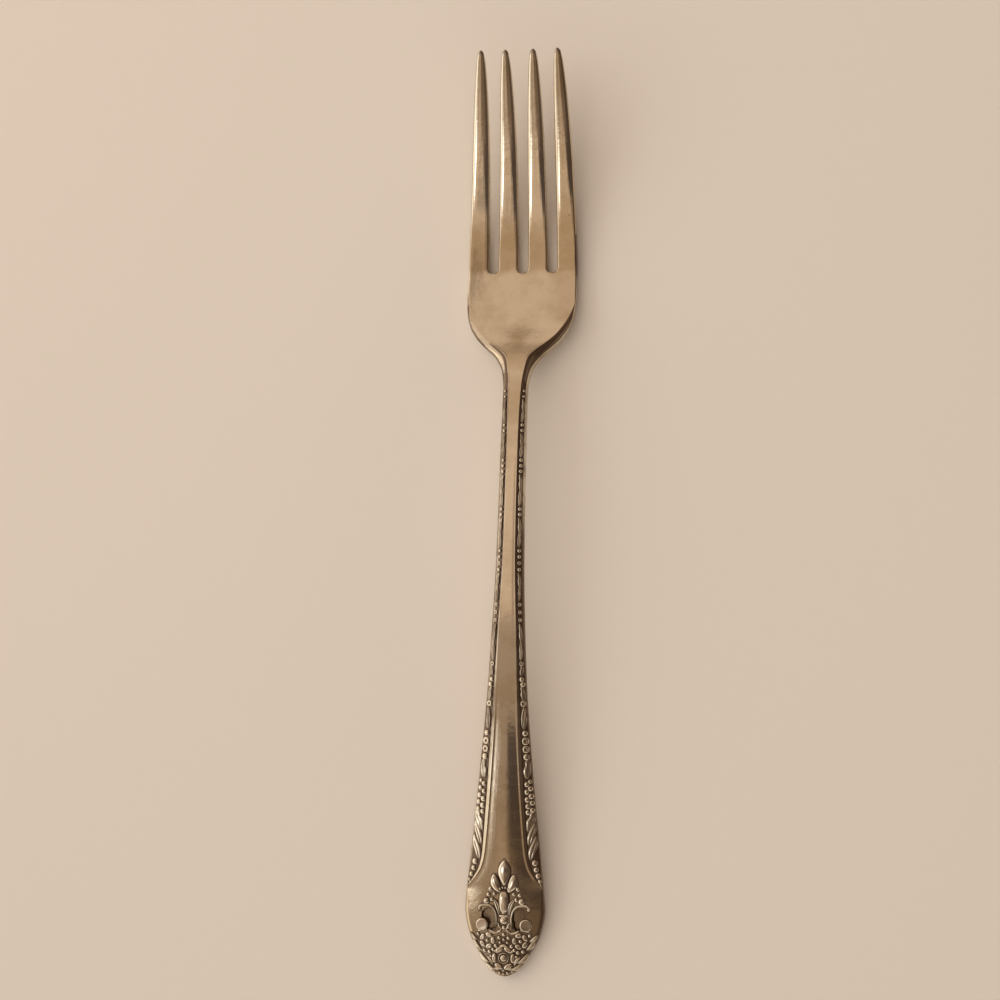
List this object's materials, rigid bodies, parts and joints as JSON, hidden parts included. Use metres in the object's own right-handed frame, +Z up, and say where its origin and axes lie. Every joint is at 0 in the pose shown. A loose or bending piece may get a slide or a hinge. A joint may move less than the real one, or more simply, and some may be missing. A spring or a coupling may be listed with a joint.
{
  "type": "dinner fork",
  "caption": "Silver-plated dinner fork with an arched handle, leaf and bead borders, a raised centre panel and a flower spray on the handle's end.",
  "frame": {"origin": "on the table under the middle of the fork's length, centred between its sides", "axes": "+Z up from the table, +Y along the fork towards the tips of the tines, +X to the right of the fork seen face up with the tines away"},
  "size_m": [0.0234, 0.19, 0.0153],
  "materials": {
    "polished_silver": "polished",
    "relief_silver": "polished"
  },
  "bodies": {
    "root": {"tine_outer_left": "polished_silver", "tine_inner_left": "polished_silver", "tine_inner_right": "polished_silver", "tine_outer_right": "polished_silver", "palm": "polished_silver", "shank_panel": "polished_silver", "blade_panel": "polished_silver", "neck": "polished_silver", "shank": "polished_silver", "blade": "polished_silver", "terminal": "polished_silver", "shank_beads_left": "relief_silver", "shank_beads_right": "relief_silver", "shank_leaves_left": "relief_silver", "shank_leaves_right": "relief_silver", "blade_beads_left": "relief_silver", "blade_beads_right": "relief_silver", "blade_leaves_left": "relief_silver", "blade_leaves_right": "relief_silver", "leaf_centre": "relief_silver", "leaf_left": "relief_silver", "leaf_right": "relief_silver", "bud": "relief_silver", "bead_arc": "relief_silver", "berries_left": "relief_silver", "berries_right": "relief_silver", "scroll_left": "relief_silver", "scroll_right": "relief_silver", "boss_left": "relief_silver", "boss_right": "relief_silver", "stem_knot": "relief_silver", "rose": "relief_silver", "blossom_left": "relief_silver", "blossom_right": "relief_silver", "spray_left": "relief_silver", "spray_right": "relief_silver", "tip_beads": "relief_silver"}
  },
  "joints": []
}
